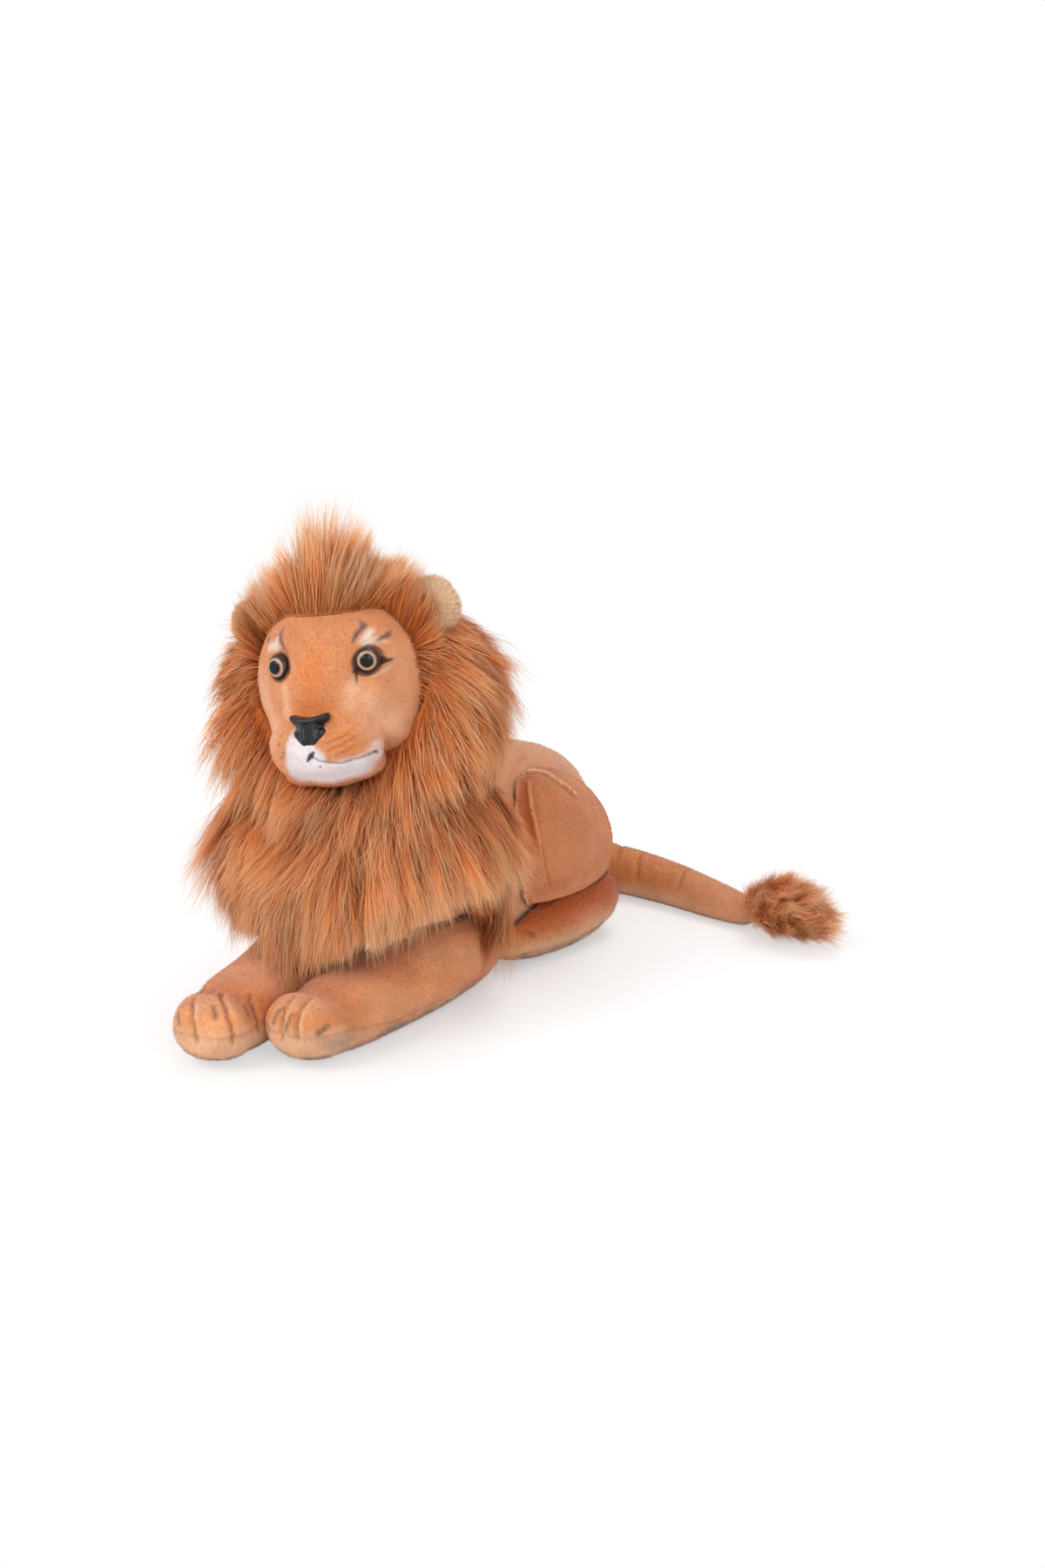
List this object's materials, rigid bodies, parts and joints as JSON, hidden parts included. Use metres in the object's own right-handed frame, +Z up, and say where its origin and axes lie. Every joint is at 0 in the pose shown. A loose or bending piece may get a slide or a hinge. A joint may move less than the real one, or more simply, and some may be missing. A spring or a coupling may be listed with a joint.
{
  "type": "plush lion",
  "caption": "Lying plush lion with long mane, moulded eyes and nose; head, legs and tail bend at sewn joints, and it rests flat on its belly.",
  "frame": {"origin": "on the floor, on the flat of the belly", "axes": "+Z up, -Y the way the lion faces, +X to the lion's left"},
  "size_m": [0.322, 0.4595, 0.3376],
  "materials": {
    "short_plush": "short orange-tan plush",
    "face_plush": "very short golden plush",
    "white_plush": "short off-white plush",
    "mane_pile": "long orange-brown pile",
    "sole_plush": "short brown-grey plush",
    "eye_acrylic": "polished clear-coated acrylic",
    "nose_plastic": "glossy black moulding",
    "washer_plastic": "plain off-white moulding"
  },
  "bodies": {
    "torso": {"torso": "short_plush", "mane_chest": "mane_pile", "mane_side_left": "mane_pile", "mane_side_right": "mane_pile", "thigh_left": "short_plush", "thigh_right": "short_plush"},
    "neck": {"neck": "short_plush"},
    "head": {"head": "face_plush", "muzzle": "white_plush", "chin": "white_plush", "ear_left": "face_plush", "ear_right": "face_plush", "eye_left": "eye_acrylic", "eye_right": "eye_acrylic", "eye_washer_left": "washer_plastic", "eye_washer_right": "washer_plastic", "nose": "nose_plastic", "nose_washer": "washer_plastic", "mane_crest": "mane_pile", "mane_ruff_left": "mane_pile", "mane_ruff_right": "mane_pile"},
    "foreleg_left": {"foreleg_left": "short_plush", "foreleg_sole_left": "sole_plush"},
    "foreleg_right": {"foreleg_right": "short_plush", "foreleg_sole_right": "sole_plush"},
    "hind_foot_left": {"hind_foot_left": "short_plush", "hind_sole_left": "sole_plush"},
    "hind_foot_right": {"hind_foot_right": "short_plush", "hind_sole_right": "sole_plush"},
    "tail": {"tail": "short_plush", "tail_tuft": "mane_pile"}
  },
  "joints": [
    {"name": "head_turn", "type": "hinge", "parent": "torso", "child": "neck", "pos_m": [-0.003, -0.14, 0.21], "axis": [0, 0, 1], "range_deg": [-15, 15], "stiffness_Nm_per_rad": 1.5},
    {"name": "head_nod", "type": "hinge", "parent": "neck", "child": "head", "pos_m": [-0.003, -0.14, 0.21], "axis": [0.9659, 0.2588, 0], "range_deg": [-10, 10], "stiffness_Nm_per_rad": 3},
    {"name": "foreleg_left_spread", "type": "hinge", "parent": "torso", "child": "foreleg_left", "pos_m": [0.0425, -0.098, 0], "axis": [0, 0, 1], "range_deg": [0, 18], "stiffness_Nm_per_rad": 0.6},
    {"name": "foreleg_right_spread", "type": "hinge", "parent": "torso", "child": "foreleg_right", "pos_m": [-0.0425, -0.132, 0], "axis": [0, 0, -1], "range_deg": [0, 18], "stiffness_Nm_per_rad": 0.6},
    {"name": "hind_foot_left_spread", "type": "hinge", "parent": "torso", "child": "hind_foot_left", "pos_m": [0.06, 0.046, 0], "axis": [0, 0, 1], "range_deg": [0, 12], "stiffness_Nm_per_rad": 0.5},
    {"name": "hind_foot_right_spread", "type": "hinge", "parent": "torso", "child": "hind_foot_right", "pos_m": [-0.06, 0.046, 0], "axis": [0, 0, -1], "range_deg": [0, 12], "stiffness_Nm_per_rad": 0.5},
    {"name": "tail_swing", "type": "hinge", "parent": "torso", "child": "tail", "pos_m": [0, 0.117, 0], "axis": [0, 0, 1], "range_deg": [-10, 90]}
  ]
}
